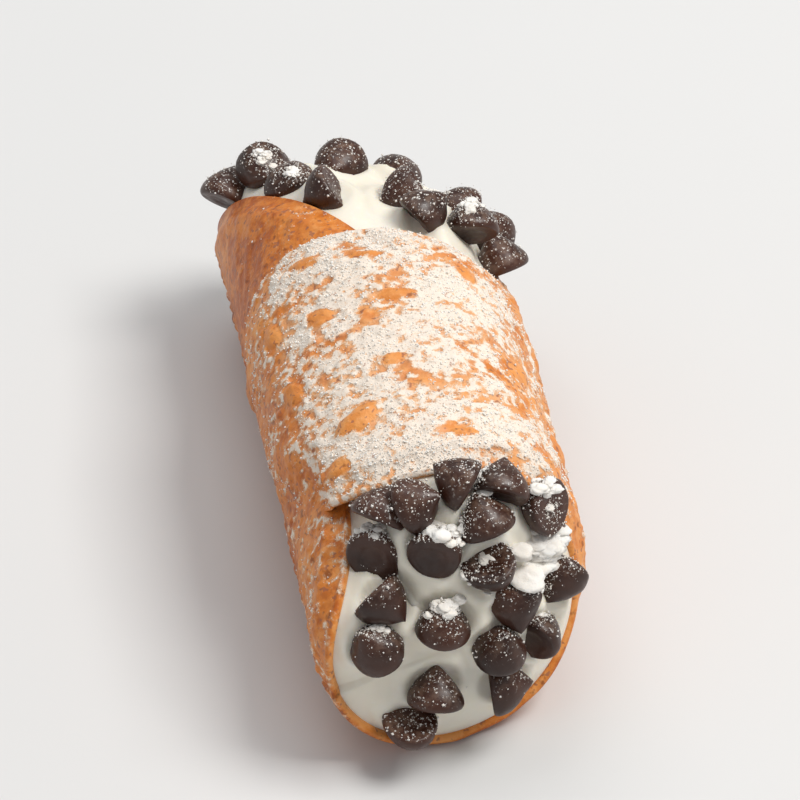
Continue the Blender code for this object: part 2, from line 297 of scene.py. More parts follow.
def lattice_noise(u, v, size, seed):
    """Smooth noise from -1 to 1 whose lumps are about the given size."""
    rng = np.random.default_rng(seed)
    table = rng.uniform(-1, 1, (257, 257))
    u, v = u / size + 61.3, v / size + 47.7
    i, j = np.floor(u).astype(int), np.floor(v).astype(int)
    a, b = ease(u - i), ease(v - j)
    i, j = i % 256, j % 256
    low = table[i, j] * (1 - b) + table[i, j + 1] * b
    high = table[i + 1, j] * (1 - b) + table[i + 1, j + 1] * b
    return low * (1 - a) + high * a


def layered_noise(u, v, size, seed, layers=3):
    """Sum of noises, each half the size and strength of the one before."""
    total, weight = 0.0, 0.0
    for layer in range(layers):
        strength = 0.5 ** layer
        total = total + strength * lattice_noise(u, v, size * 0.5 ** layer, seed + layer)
        weight += strength
    return total / weight


def both_places(clock):
    """Reach of a clock place on the outer side of the sheet, and on the lap below it."""
    reach = (math.pi - math.radians(clock)) * MID_RADIUS
    return reach, reach - ROUND_THE_ROLL


def marked_maps():
    """Height of the blisters that stand out, how bare their tops are, and the thick spots of sugar."""
    height, tops, powder = SheetMap(), SheetMap(), SheetMap()
    for clock, y, long, wide, angle, rise in MARKED_BLISTERS:
        for reach in both_places(clock):
            shape = (long * MM, wide * MM, math.radians(angle))
            height.stamp_dome(reach, y * MM, *shape, rise * MM, 0.8)
            tops.stamp_dome(reach, y * MM, *shape, 1.0, 0.6)
    for clock, y, radius in MARKED_POWDER:
        reach, _ = both_places(clock)
        powder.stamp_dome(reach, y * MM, radius * MM, 0.7 * radius * MM, math.radians(7 * clock), 1.0, 0.7)
    return height, tops, powder


def add_small_blisters(height, tops):
    """Stamp the many small blisters all over the sheet."""
    rng = np.random.default_rng(5)
    low, high = height.low, -height.low[1]
    for count, small, large, share in BLISTER_SIZES:
        for _ in range(count):
            reach = rng.uniform(low[0], TONGUE_END)
            y = rng.uniform(low[1], high)
            radius = rng.uniform(small, large) * MM
            stretch = rng.uniform(0.65, 1.0)
            rise = radius * share * rng.uniform(0.5, 1.0)
            height.stamp_dome(reach, y, radius, radius * stretch, rng.uniform(0, math.pi), rise, 0.9)
            if small > SMALL_BARE_FROM and rng.random() < SMALL_BARE_CHANCE:
                tops.stamp_dome(reach, y, radius, radius * stretch, 0.0, 0.7, 0.8)


def crowded_ends(count, crowding):
    """Fractions from 0 to 1, closer together at both ends."""
    steps = np.arange(count + 1) / count
    return steps - crowding * np.sin(2 * math.pi * steps) / (2 * math.pi)


def sheet_grid():
    """Reach and y of the fine sheet, its edges a little uneven."""
    first, last = INNER_END + NOSE_TRIM, TONGUE_END - NOSE_TRIM
    reach = first + (last - first) * crowded_ends(SHEET_COLUMNS, 0.35)
    share = crowded_ends(SHEET_ROWS, 0.35)
    edges = {}
    for end in (FRONT, BACK):
        uneven = 0.45 * MM * layered_noise(reach, reach * 0 + end * MM, 7 * MM, 31 + end)
        edges[end] = end * (sheet_length(reach, end) + uneven)
    y = edges[FRONT][:, None] + (edges[BACK] - edges[FRONT])[:, None] * share[None, :]
    return np.repeat(reach[:, None], SHEET_ROWS + 1, axis=1), y


def edge_distance(reach, y):
    """Rough distance from each grid point to the sheet's edge."""
    sideways = np.minimum(reach - reach[0, 0], reach[-1, 0] - reach)
    lengthways = np.minimum(y - y[:, :1], y[:, -1:] - y)
    front_slope = np.gradient(y[:, 0], reach[:, 0])[:, None]
    back_slope = np.gradient(y[:, -1], reach[:, 0])[:, None]
    slope = np.where(y < 0, front_slope, back_slope)
    return np.minimum(sideways, lengthways / np.sqrt(1 + slope * slope))


def grid_faces(columns, rows, first, flip=False):
    """Four-cornered faces of a grid of vertices numbered from first."""
    corner = np.arange(columns)[:, None] * (rows + 1) + np.arange(rows)[None, :] + first
    corner = corner.ravel()
    faces = np.stack([corner, corner + rows + 1, corner + rows + 2, corner + 1], axis=-1)
    return faces[:, ::-1] if flip else faces


def edge_walk(columns, rows):
    """Grid places round the sheet's edge, with the direction off the sheet at each."""
    walk = [(column, 0) for column in range(columns)]
    walk += [(columns, row) for row in range(rows)]
    walk += [(column, rows) for column in range(columns, 0, -1)]
    walk += [(0, row) for row in range(rows, 0, -1)]
    walk = np.array(walk)
    off = np.stack([(walk[:, 0] == columns) * 1.0 - (walk[:, 0] == 0),
                    (walk[:, 1] == rows) * 1.0 - (walk[:, 1] == 0)], axis=-1)
    return walk, off / np.linalg.norm(off, axis=1)[:, None]


def band_faces(low, high, sides):
    """Four-cornered faces between two closed rings, each given by the number of its first vertex."""
    side = np.arange(sides)
    after = (side + 1) % sides
    return np.stack([low + side, low + after, high + after, high + side], axis=-1).tolist()


def fan_faces(first, tip, sides, flip=False):
    """Three-cornered faces between a closed ring and one vertex."""
    side = first + np.arange(sides)
    after = first + (np.arange(sides) + 1) % sides
    if flip:
        side, after = after, side
    return np.stack([side, after, np.full(sides, tip)], axis=-1).tolist()


def mesh_object(name, points, faces, material):
    """Smooth-shaded object from arrays, riding on the root body."""
    mesh = bpy.data.meshes.new(name)
    mesh.from_pydata(points.tolist(), [], [list(face) for face in faces])
    mesh.shade_smooth()
    mesh.materials.append(material)
    item = bpy.data.objects.new(name, mesh)
    bpy.context.scene.collection.objects.link(item)
    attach(item, "root")
    return item


def face_outwards(item):
    """Turn every face of a closed mesh outwards."""
    bm = bmesh.new()
    bm.from_mesh(item.data)
    bmesh.ops.recalc_face_normals(bm, faces=bm.faces)
    bm.to_mesh(item.data)
    bm.free()


def store(item, name, values):
    """Keep one number for each vertex, for the material to read."""
    layer = item.data.attributes.new(name, "FLOAT", "POINT")
    layer.data.foreach_set("value", np.asarray(values, dtype=np.float32))


def frame_shift(reach, y):
    """How far the frame was moved to stand over its origin."""
    points = roll_up(reach, y, WALL / 2).reshape(-1, 3)
    middle = (points.min(axis=0) + points.max(axis=0)) / 2
    low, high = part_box("shell")
    target = (np.array(low) + np.array(high)) / 2
    return np.array([target[0] - middle[0], target[1] - middle[1], 0.0])


def sugar_density(reach, y, tops, powder):
    """How thickly the sugar lies, from 0 to 1: on what faces up, with little on the bare back lip."""
    clock = clock_of(reach)
    left = ease((clock + math.radians(75)) / math.radians(55))
    right = ease((math.radians(125) - clock) / math.radians(125))
    fall = 0.22 * ease((clock + math.radians(150)) / math.radians(40)) * right + 0.48 * left * right
    patches = 0.18 * layered_noise(reach, y, 6 * MM, 71) + 0.34 * lattice_noise(reach, y, 2.6 * MM, 72)
    bare = 1 - 0.85 * back_lip(reach, y)
    return np.clip((fall + patches * (0.3 + 0.7 * left) + 0.22 * powder) * bare - 0.75 * tops, 0.0, 1.0)


def sugar_cover(reach, y, density):
    """How much of each spot the sugar hides, from 0 to 1: specks, closing up where it lies thick."""
    grain = 0.35 * lattice_noise(reach, y, 1.2 * MM, 122) + 0.65 * lattice_noise(reach, y, 0.55 * MM, 123)
    return ease(0.5 + 0.75 * grain + 1.25 * (density - 0.5)) * ease(density / 0.10)


def back_lip(reach, y):
    """1 on the smooth bare part of the inner flap, towards the back."""
    return ease((BACK_LIP_FROM - reach) / (4 * MM)) * ease((y + 4 * MM) / (8 * MM))


def lies_on_inner(reach, y):
    """1 where the outer flap lies on the inner one."""
    lap = reach - ROUND_THE_ROLL
    length = np.where(y < 0, sheet_length(lap, FRONT), sheet_length(lap, BACK))
    below = ease((length - np.abs(y)) / (4 * MM)) * ease((lap - INNER_END) / (5 * MM))
    return np.where(reach > 0, below, 0.0)


def front_seam(reach, y):
    """1 where the outer flap's front corner lies on the inner one."""
    return lies_on_inner(reach, y) * ease((-12 * MM - y) / (8 * MM))


def edge_thinning(reach, y, edge):
    """How much thinner the wall is towards its edges, most where one flap lies on the other."""
    on_flap = lies_on_inner(reach, y)
    front = front_seam(reach, y)
    depth = EDGE_THIN + (FLAP_THIN - EDGE_THIN) * on_flap + (FRONT_FLAP_THIN - FLAP_THIN) * front
    width = EDGE_WIDTH + (FLAP_WIDTH - EDGE_WIDTH) * on_flap + (FRONT_FLAP_WIDTH - FLAP_WIDTH) * front
    return depth * (1 - ease(edge / width))


def shell_relief(reach, y, height_map):
    """Height of the blisters, the crackle between them and the broad swells."""
    smooth = 1 - 0.75 * back_lip(reach, y)
    blisters = height_map.read(reach, y) * smooth
    crackle = 0.20 * MM * np.abs(layered_noise(reach, y, 1.7 * MM, 97, 2)) * smooth
    grit = 0.07 * MM * lattice_noise(reach, y, 0.6 * MM, 99) * smooth
    swell = 0.35 * MM * layered_noise(reach, y, 12 * MM, 91, 2)
    streaks = 0.12 * MM * lattice_noise(reach + 0.55 * y, y * 0.25, 1.2 * MM, 101) * (1 - smooth)
    return blisters - crackle + grit + swell + streaks


def rim_crests(reach, y, thin, sink, walk, off, shift):
    """Three lines of points that round the sheet's edge."""
    column, row = walk[:, 0], walk[:, 1]
    top = WALL / 2 - thin[column, row]
    crests = []
    for share, out in ((0.78, 0.28), (0.5, 0.40), (0.22, 0.28)):
        height = -WALL / 2 - sink[column, row] + (top + WALL / 2) * share
        beyond = off * (out * (top + WALL / 2))[:, None]
        crest = roll_up(reach[column, row] + beyond[:, 0], y[column, row] + beyond[:, 1], height)
        crests.append(crest + shift)
    return crests


def rim_faces(rings, last):
    """Faces from the outer side's edge round to the inner side's edge, which has half as many points."""
    faces = []
    for high, low in zip(rings, rings[1:]):
        faces += np.stack([high, np.roll(high, -1), np.roll(low, -1), low], axis=-1).tolist()
    high, half, after = rings[-1][::2], rings[-1][1::2], np.roll(rings[-1], -2)[::2]
    low, low_after = last, np.roll(last, -1)
    for corners in ((high, half, low), (half, after, low_after), (half, low_after, low)):
        faces += np.stack(corners, axis=-1).tolist()
    return faces


def shell_faces(outer_size, walk, crest_count):
    """Faces of the outer side, the inner side with half as many columns and rows, and the edge between."""
    inner_walk, _ = edge_walk(SHEET_COLUMNS // 2, SHEET_ROWS // 2)
    inner_first = outer_size + crest_count * len(walk)
    rings = [walk[:, 0] * (SHEET_ROWS + 1) + walk[:, 1]]
    rings += [outer_size + ring * len(walk) + np.arange(len(walk)) for ring in range(crest_count)]
    last = inner_first + inner_walk[:, 0] * (SHEET_ROWS // 2 + 1) + inner_walk[:, 1]
    faces = grid_faces(SHEET_COLUMNS, SHEET_ROWS, 0).tolist()
    faces += grid_faces(SHEET_COLUMNS // 2, SHEET_ROWS // 2, inner_first, True).tolist()
    return faces + rim_faces(rings, last)


def build_shell(material):
    """The fried shell and the sugar on it; gives back how far the frame was moved over its origin."""
    height_map, top_map, powder_map = marked_maps()
    add_small_blisters(height_map, top_map)
    reach, y = sheet_grid()
    shift = frame_shift(reach, y)
    edge = edge_distance(reach, y)
    shown = 1 - covered(reach, y)
    free = ease((edge - 0.2 * MM) / (1.4 * MM)) * shown
    tops = top_map.read(reach, y) * free
    thin = edge_thinning(reach, y, edge)
    density = sugar_density(reach, y, tops, powder_map.read(reach, y)) * shown
    cover = sugar_cover(reach, y, density)
    lumps = 0.5 + 0.5 * lattice_noise(reach, y, 0.8 * MM, 113)
    powder = (0.07 + 0.13 * lumps * ease((density - 0.3) / 0.5)) * MM * cover
    sink = SEAM_SINK * front_seam(reach, y) * (1 - ease(edge / SEAM_WIDTH))
    relief = shell_relief(reach, y, height_map) * free
    outer = roll_up(reach, y, WALL / 2 - thin - sink + relief + powder) + shift
    inner = roll_up(reach, y, -WALL / 2 - sink)[::2, ::2] + shift

    walk, off = edge_walk(SHEET_COLUMNS, SHEET_ROWS)
    crests = rim_crests(reach, y, thin, sink, walk, off, shift)
    points = np.concatenate([outer.reshape(-1, 3), *crests, inner.reshape(-1, 3)])
    faces = shell_faces(outer.shape[0] * outer.shape[1], walk, len(crests))
    shell = mesh_object("fried_shell", points, faces, material)
    face_outwards(shell)
    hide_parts("shell")

    column, row = walk[:, 0], walk[:, 1]
    bore = np.zeros(inner.shape[0] * inner.shape[1])
    # Darkness of the dough: its browning, with painted shade low down and on the left
    browning_and_shade = browning_and_painted_shade(reach, y, edge)
    for name, values in (("sugar", cover), ("film", density), ("blister", tops), ("browning_and_shade", browning_and_shade)):
        rim = values[column, row]
        store(shell, name, np.concatenate([values.ravel(), rim, 0.6 * rim, 0.2 * rim, bore]))
    scatter_grains(outer, cover * density)
    return shift


def browning_and_painted_shade(reach, y, edge):
    """How dark the dough is, from 0 to 1: its browning, with painted shade low down and on the left, which
    face away from the light, and darker on the back lip and at edges.
    """
    clock = clock_of(reach)
    # Painted shade: darker low down and on the left side, away from the light
    low = ease((0.55 - np.cos(clock)) / 1.3)
    left = ease((-np.sin(clock) - 0.2) / 0.8)
    browned_and_shaded = 0.18 + 0.35 * low + 0.22 * left + 0.16 * back_lip(reach, y)
    return np.clip(browned_and_shaded + 0.12 * (1 - ease(edge / (1.2 * MM))), 0.0, 1.0)


# ---------------------------------------------------------------- sugar

def grains(name, places, sizes, rng):
    """Many small uneven lumps of sugar in one mesh."""
    corners = GRAIN_CORNERS[None] * rng.uniform(0.55, GRAIN_REACH, (len(places), 6, 1))
    turn = np.linalg.qr(rng.normal(size=(len(places), 3, 3)))[0]
    corners = np.einsum("nij,nkj->nki", turn, corners) * sizes[:, None, None]
    points = (places[:, None, :] + corners).reshape(-1, 3)
    faces = (GRAIN_FACES[None] + 6 * np.arange(len(places))[:, None, None]).reshape(-1, 3)
    face_outwards(mesh_object(name, points, faces, sugar_material()))


def scatter_grains(outer, density):
    """Sugar grains on the shell, thickest where the sugar lies thickest."""
    rng = np.random.default_rng(17)
    flat, chance = outer.reshape(-1, 3), density.ravel()
    picks = rng.choice(len(flat), size=SHELL_GRAINS, p=chance / chance.sum())
    sizes = np.clip(rng.gamma(3.0, GRAIN_SPREAD, len(picks)), 0.04, 0.22) * MM
    places = flat[picks] + rng.normal(0, GRAIN_JITTER, (len(picks), 3))
    places[:, 2] = np.maximum(places[:, 2], GRAIN_REACH * sizes)
    grains("sugar_on_shell", places, sizes, rng)


def lump_points(centre, size, rng):
    """One soft lump of sugar, flattened and bumpy, as rings of points with one at each end."""
    turn, level = np.meshgrid(2 * math.pi * np.arange(LUMP_SIDES) / LUMP_SIDES,
                              math.pi * (np.arange(LUMP_RINGS) + 0.5) / LUMP_RINGS)
    ball = np.stack([np.sin(level) * np.cos(turn), np.sin(level) * np.sin(turn), np.cos(level)], axis=-1)
    ball = np.concatenate([ball.reshape(-1, 3), [(0, 0, 1), (0, 0, -1)]])
    away = rng.uniform(0, 40, 2) * MM
    bumps = np.ones(len(ball))
    for share, height in ((0.9, 0.35), (0.40, 0.20)):
        u, v = ball[:, 0] + 1.7 * ball[:, 2], ball[:, 1] - 1.3 * ball[:, 2]
        u, v = u * size + away[0], v * size + away[1]
        bumps += height * lattice_noise(u, v, share * size, rng.integers(1000))
    stretch = np.array([rng.uniform(0.8, 1.4), rng.uniform(0.7, 1.2), 0.55])
    return centre + ball * bumps[:, None] * stretch * size


def lump_faces(first):
    """The faces of one lump, from the number of its first vertex."""
    faces = []
    for ring in range(LUMP_RINGS - 1):
        low = first + ring * LUMP_SIDES
        faces += band_faces(low, low + LUMP_SIDES, LUMP_SIDES)
    last = first + (LUMP_RINGS - 1) * LUMP_SIDES
    faces += fan_faces(first, last + LUMP_SIDES, LUMP_SIDES)
    faces += fan_faces(last, last + LUMP_SIDES + 1, LUMP_SIDES, flip=True)
    return faces


def upward_places(items):
    """Every corner of the items that faces up."""
    corners = [corner for item in items for corner in item.data.vertices]
    return np.array([corner.co for corner in corners if corner.normal.z > 0.25])


def pick_near(beds, away, width, count, rng):
    """Some of the places, the likelier the smaller their distance is beside the width."""
    chance = np.exp(-0.5 * (away / width) ** 2) + 1e-12
    return beds[rng.choice(len(beds), count, p=chance / chance.sum())]


def build_clumps(hubs, beds):
    """Clumps of small lumps on and between the drops; gives back the places of the grains round them."""
    rng = np.random.default_rng(41)
    points, faces, grain_places = [], [], []
    for nodes, lift, size in CLUMPS:
        middle = np.mean([hubs[node] for node in nodes], axis=0) + np.array([0, 0, lift * MM])
        away = np.linalg.norm(beds - middle, axis=1) / (size * MM)
        lumps = pick_near(beds, away, 0.50, int(4 + 5 * size), rng)
        heaped = HEAPED if len(nodes) > 1 else 0.0
        for place in lumps + heaped * (middle - lumps) * rng.uniform(0.2, 1.0, (len(lumps), 1)):
            faces += lump_faces(sum(len(lump) for lump in points))
            points.append(lump_points(place, rng.uniform(0.20, 0.46) * size * MM, rng))
        around = pick_near(beds, away, 0.75, int(240 * size), rng)
        grain_places.append(around + rng.normal(0, 0.15 * MM, around.shape))
    clumps = mesh_object("sugar_clumps", np.concatenate(points), faces, sugar_material())
    face_outwards(clumps)
    return np.concatenate(grain_places)


def grains_on_drops(drops, rng):
    """Places of loose grains on the drops, where they face up."""
    places = []
    for drop in drops:
        corners = np.array([corner.co for corner in drop.data.vertices])
        upward = np.array([corner.normal.z for corner in drop.data.vertices])
        chance = ease((upward - 0.1) / 0.8) + 1e-6
        count = int(rng.uniform(60, 230))
        places.append(corners[rng.choice(len(corners), count, p=chance / chance.sum())])
    places = np.concatenate(places)
    return places + rng.normal(0, 0.22 * MM, places.shape) * np.array([1, 1, 0.25])


def build_loose_sugar(drops, hubs):
    """Clumps and loose grains of sugar, on and between the drops."""
    rng = np.random.default_rng(43)
    beds = upward_places(drops)
    places = np.concatenate([build_clumps(hubs, beds), grains_on_drops(drops, rng)])
    sizes = np.clip(rng.gamma(3.0, GRAIN_SPREAD, len(places)), 0.04, 0.20) * MM
    grains("sugar_on_drops", places, sizes, rng)


# ---------------------------------------------------------------- cream

def cream_rim(turn, end):
    """Radius of the filling at the shell, pressed a little into its wall."""
    reach = np.mod(turn, 2 * math.pi) * MID_RADIUS
    nose = KEEL - INNER_WIDTH[end] + ROUND_THE_ROLL
    spare = CLIMB * ease((nose - 1.0 * MM - reach) / (3 * MM))
    return BORE_RADIUS + CREAM_PRESS + np.minimum(spare, climb(reach))


def cream_point(turn, across, rise, end, shift):
    """Point of the domed end; across goes from 0 on the axis to 1 at the shell, rise from 1 to 0."""
    base = rim_length(turn, end) - CREAM_RECESS
    radius = (cream_rim(turn, end) + flare(base)) * across
    y = base + (CREAM_TIP[end] - base) * rise
    return np.stack([radius * np.sin(turn), end * y, AXIS_HEIGHT - radius * np.cos(turn)], axis=-1) + shift


def cream_side(end, y, shift):
    """Ring of points of the filling's side, against the shell."""
    turn = 2 * math.pi * (np.arange(CREAM_SIDES) + 0.5) / CREAM_SIDES
    radius = cream_rim(turn, end)
    ring = [radius * np.sin(turn), np.full(CREAM_SIDES, y), AXIS_HEIGHT - radius * np.cos(turn)]
    return np.stack(ring, axis=-1) + shift


def dome_grid(end, shift):
    """Rows of points from the shell to near the axis, evenly spaced."""
    turn = 2 * math.pi * (np.arange(CREAM_SIDES) + 0.5) / CREAM_SIDES
    slope = 0.5 * math.pi * np.arange(CREAM_RINGS) / CREAM_RINGS
    across = np.cos(slope) ** (2 / CREAM_POWER)
    rise = np.sin(slope) ** (2 / CREAM_POWER)
    turn, across = np.meshgrid(turn, across)
    return cream_point(turn, across, rise[:, None], end, shift), across


def ring_normals(points, end):
    """Outward directions of a grid of points whose columns close into rings."""
    around = np.roll(points, -1, axis=1) - np.roll(points, 1, axis=1)
    inward = np.gradient(points, axis=0)
    normal = np.cross(inward, around)
    normal /= np.linalg.norm(normal, axis=-1)[..., None] + 1e-12
    return normal * np.where(normal[..., 1:2] * end + 1e-9 >= 0, 1.0, -1.0)


def cream_relief(points, across, hubs):
    """Height of the cream's soft folds, and of the collars where drops were pushed in."""
    relief = np.zeros(across.shape)
    for size, height, seed in ((8 * MM, 0.35 * MM, 3), (2.6 * MM, 0.14 * MM, 9), (0.9 * MM, 0.035 * MM, 15)):
        relief += height * lattice_noise(points[..., 0], points[..., 2], size, seed)
    for hub in hubs:
        away = np.linalg.norm(points - hub, axis=-1)
        relief += 0.55 * MM * np.exp(-((away - 3.8 * MM) / (0.9 * MM)) ** 2)
    return relief * ease((1 - across) / 0.12)


def build_cream(shift, hubs):
    """The filling, from the dome at the back to the dome at the front."""
    domes = {}
    for end in (BACK, FRONT):
        points, across = dome_grid(end, shift)
        near = [hub for hub in hubs.values() if hub[1] * end > 0]
        points = points + ring_normals(points, end) * cream_relief(points, across, near)[..., None]
        domes[end] = points
    loops = list(domes[BACK][::-1])
    steps = {BACK: cream_side(BACK, -0.8 * MM, shift), FRONT: cream_side(FRONT, -2.3 * MM, shift)}
    for row in range(1, CREAM_ROWS + 1):
        loops.append(domes[BACK][0] + (steps[BACK] - domes[BACK][0]) * row / CREAM_ROWS)
    for row in range(CREAM_ROWS):
        loops.append(steps[FRONT] + (domes[FRONT][0] - steps[FRONT]) * row / CREAM_ROWS)
    loops += list(domes[FRONT])
    points = np.concatenate(loops)
    tips = np.array([loops[0].mean(axis=0), loops[-1].mean(axis=0)])
    faces = []
    for loop in range(len(loops) - 1):
        faces += band_faces(loop * CREAM_SIDES, (loop + 1) * CREAM_SIDES, CREAM_SIDES)
    faces += fan_faces(0, len(points), CREAM_SIDES)
    faces += fan_faces(len(points) - CREAM_SIDES, len(points) + 1, CREAM_SIDES)
    cream = mesh_object("cream_filling", np.concatenate([points, tips]), faces, cream_material())
    face_outwards(cream)
    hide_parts("cream")


# ---------------------------------------------------------------- chocolate drops

def drop_pose(node):
    """Centre of a drop's base, directions of its tip and of the tip's bend, and its size, from its node."""
    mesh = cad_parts[node].data
    normals = np.array([face.normal for face in mesh.polygons])
    areas = np.array([face.area for face in mesh.polygons])
    centres = np.array([face.center for face in mesh.polygons])
    same = normals @ normals.T > 0.9995
    base = same[np.argmax(same @ areas)]
    area = areas[base].sum()
    centre = (centres * areas[:, None])[base].sum(axis=0) / area
    tip = -normals[base][0]
    size = math.sqrt(area / (4 * math.sin(math.pi / 4))) / (DROP_BASE * DROP_RADIUS)
    corners = np.array([corner.co for corner in mesh.vertices])
    far = corners[np.argmax((corners - centre) @ tip)] - centre
    bend = far - tip * (far @ tip)
    return centre, tip, bend / np.linalg.norm(bend), size


def drop_profile():
    """Widths and levels of a drop from the middle of its base to its tip, as shares of radius and height."""
    base = np.linspace(0.0, DROP_BASE, 9)[1:]
    dish = 0.040 * (1 - (base / DROP_BASE) ** 2) - 0.022 * np.exp(-((base - 0.58) / 0.09) ** 2)
    corner = np.linspace(math.pi / 2, 0, 6)[1:]
    edge = DROP_BASE + (1 - DROP_BASE) * np.cos(corner)
    edge_level = DROP_EDGE * (1 - np.sin(corner))
    climb_up = np.linspace(0, 1, 15)[1:-1]
    side = 1 - climb_up ** 1.9
    side_level = DROP_EDGE + (1 - DROP_EDGE) * climb_up ** 1.05
    return np.concatenate([base, edge, side]), np.concatenate([dish, edge_level, side_level])


def drop_points(pose, rng):
    """Points of one drop, a little uneven, in rings from base to tip with a point at each end."""
    centre, tip, bend, size = pose
    widths, levels = drop_profile()
    angle = 2 * math.pi * np.arange(DROP_SIDES) / DROP_SIDES
    oval = 1 + 0.035 * np.cos(2 * angle + rng.uniform(0, 6)) + 0.02 * np.cos(3 * angle + rng.uniform(0, 6))
    lean = rng.uniform(0.05, 0.16) * DROP_RADIUS
    x = widths[:, None] * DROP_RADIUS * (oval * np.cos(angle))[None] + lean * levels[:, None] ** 2
    y = widths[:, None] * DROP_RADIUS * (oval * np.sin(angle))[None]
    z = np.repeat(levels[:, None] * DROP_HEIGHT, DROP_SIDES, axis=1)
    local = np.stack([x, y, z], axis=-1).reshape(-1, 3)
    ends = np.array([[0, 0, 0.040 * DROP_HEIGHT], [lean, 0, DROP_HEIGHT]])
    local = np.concatenate([local, ends])
    seed = rng.integers(1000)
    uneven = 0.10 * MM * lattice_noise(local[:, 0] + local[:, 2], local[:, 1] - local[:, 2], 1.7 * MM, seed)
    local = local * (1 + uneven / DROP_RADIUS)[:, None]
    axes = np.stack([bend, np.cross(tip, bend), tip], axis=1)
    return centre + size * local @ axes.T, len(widths)


def build_drop(node, pose, rng, material):
    """One chocolate drop in place of its node, with powder on what faces up."""
    points, rings = drop_points(pose, rng)
    faces = []
    for ring in range(rings - 1):
        faces += band_faces(ring * DROP_SIDES, (ring + 1) * DROP_SIDES, DROP_SIDES)
    faces += fan_faces(0, rings * DROP_SIDES, DROP_SIDES, flip=True)
    faces += fan_faces((rings - 1) * DROP_SIDES, rings * DROP_SIDES + 1, DROP_SIDES)
    drop = mesh_object("drop_" + node.split("chip_")[1], points, faces, material)
    face_outwards(drop)
    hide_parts(node)
    upward = np.array([corner.normal.z for corner in drop.data.vertices])
    store(drop, "powder", ease((upward - 0.15) / 0.8) * rng.uniform(0.4, 1.0))
    return drop


def build_drops():
    """Every chocolate drop; gives back the drops, and the middle of each by its short name."""
    rng = np.random.default_rng(23)
    material = chocolate_material()
    drops, hubs = [], {}
    for node in sorted(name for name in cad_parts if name.startswith("chip_")):
        pose = drop_pose(node)
        drops.append(build_drop(node, pose, rng, material))
        centre, tip, _, _ = pose
        hubs[node.split("chip_")[1]] = centre + tip * DROP_HUB
    return drops, hubs


# ---------------------------------------------------------------- materials

class Looks:
    """One material and short calls that add nodes to it."""

    def __init__(self, name, **sockets):
        self.material = bpy.data.materials.new(name)
        self.material.use_nodes = True
        self.tree = self.material.node_tree
        self.shader = self.tree.nodes["Principled BSDF"]
        for socket, value in sockets.items():
            self.shader.inputs[socket.replace("_", " ")].default_value = value
        self.place = self.tree.nodes.new("ShaderNodeTexCoord").outputs["Object"]

    def plug(self, socket, value):
        """Link an output to a socket, or set the socket to a number or colour."""
        if isinstance(value, bpy.types.NodeSocket):
            self.tree.links.new(value, socket)
        else:
            socket.default_value = value

    def finish(self, socket, value):
        """Drive one of the shader's own sockets."""
        self.plug(self.shader.inputs[socket], value)

    def noise(self, size, detail=2.0, roughness=0.5):
        """Soft noise from 0 to 1 with lumps of about the given size."""
        node = self.tree.nodes.new("ShaderNodeTexNoise")
        node.inputs["Scale"].default_value = 0.5 / size
        node.inputs["Detail"].default_value = detail
        node.inputs["Roughness"].default_value = roughness
        self.plug(node.inputs["Vector"], self.place)
        return node.outputs["Fac"]

    def attribute(self, name):
        """A number kept on the mesh."""
        node = self.tree.nodes.new("ShaderNodeAttribute")
        node.attribute_name = name
        return node.outputs["Fac"]

    def maths(self, operation, first, second=0.0, third=0.0):
        """One sum."""
        node = self.tree.nodes.new("ShaderNodeMath")
        node.operation = operation
        for socket, value in zip(node.inputs, (first, second, third)):
            self.plug(socket, value)
        return node.outputs[0]

    def fade(self, value, start, stop, low=0.0, high=1.0):
        """Smooth step from low to high as value goes from start to stop."""
        node = self.tree.nodes.new("ShaderNodeMapRange")
        node.interpolation_type = "SMOOTHSTEP"
        for socket, number in zip(node.inputs, (value, start, stop, low, high)):
            self.plug(socket, number)
        return node.outputs[0]

    def mix(self, factor, first, second):
        """Blend of two colours."""
        node = self.tree.nodes.new("ShaderNodeMix")
        node.data_type = "RGBA"
        self.plug(node.inputs["Factor"], factor)
        self.plug(node.inputs[6], first)
        self.plug(node.inputs[7], second)
        return node.outputs[2]

    def bump(self, height, depth, under=None):
        """Fine relief of the given depth."""
        node = self.tree.nodes.new("ShaderNodeBump")
        node.inputs["Strength"].default_value = 1.0
        node.inputs["Distance"].default_value = depth
        self.plug(node.inputs["Height"], height)
        if under is not None:
            self.plug(node.inputs["Normal"], under)
        return node.outputs[0]


def colour(red, green, blue):
    """Colour with full alpha."""
    return (red, green, blue, 1.0)


CRUST_PALE = colour(0.80, 0.33, 0.090)
CRUST_GOLD = colour(0.68, 0.215, 0.034)
CRUST_DEEP = colour(0.46, 0.108, 0.013)
CRUST_DARK = colour(0.17, 0.036, 0.010)
SPECK = colour(0.34, 0.125, 0.070)
SUGAR_FILM = colour(0.80, 0.47, 0.27)
SUGAR_THIN = colour(0.80, 0.55, 0.36)
# Thick sugar: white, with a painted warm tint standing for light bounced from the crust
SUGAR_THICK_BOUNCE_TINTED = colour(0.84, 0.745, 0.645)
SUGAR_LUMP = colour(0.87, 0.82, 0.75)
SUGAR_GRAIN = colour(0.92, 0.895, 0.85)
CREAM_SHADE = colour(0.84, 0.78, 0.655)
CREAM_LIGHT = colour(0.88, 0.84, 0.735)
CREAM_GRAIN = colour(0.89, 0.875, 0.80)
CHOCOLATE_DARK = colour(0.026, 0.0085, 0.0045)
CHOCOLATE_LIGHT = colour(0.062, 0.021, 0.0115)
CHOCOLATE_DUST = colour(0.50, 0.32, 0.22)
FLOOR_DARK = colour(0.69, 0.69, 0.685)
FLOOR_LIGHT = colour(0.72, 0.72, 0.715)


